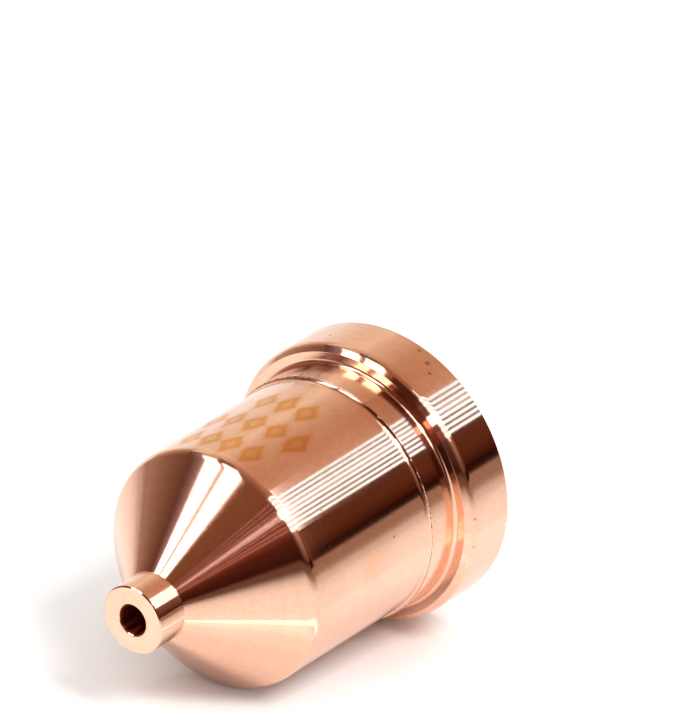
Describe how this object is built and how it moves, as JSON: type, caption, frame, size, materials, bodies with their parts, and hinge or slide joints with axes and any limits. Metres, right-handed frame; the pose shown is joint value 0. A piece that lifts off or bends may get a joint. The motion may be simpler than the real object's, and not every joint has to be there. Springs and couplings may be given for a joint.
{
  "type": "plasma torch nozzle",
  "caption": "Turned copper cutting nozzle with a rear flange, a parallel body, a conical nose and a small parallel tip with an orifice along the axis.",
  "frame": {"origin": "centre of the flange's rear face", "axes": "+Z along the turning axis, from the rear face towards the nose; X and Y are radial"},
  "size_m": [0.018, 0.018, 0.0246],
  "materials": {
    "copper": "bright turned copper with fine tool marks"
  },
  "bodies": {
    "root": {"nozzle": "copper"}
  },
  "joints": []
}
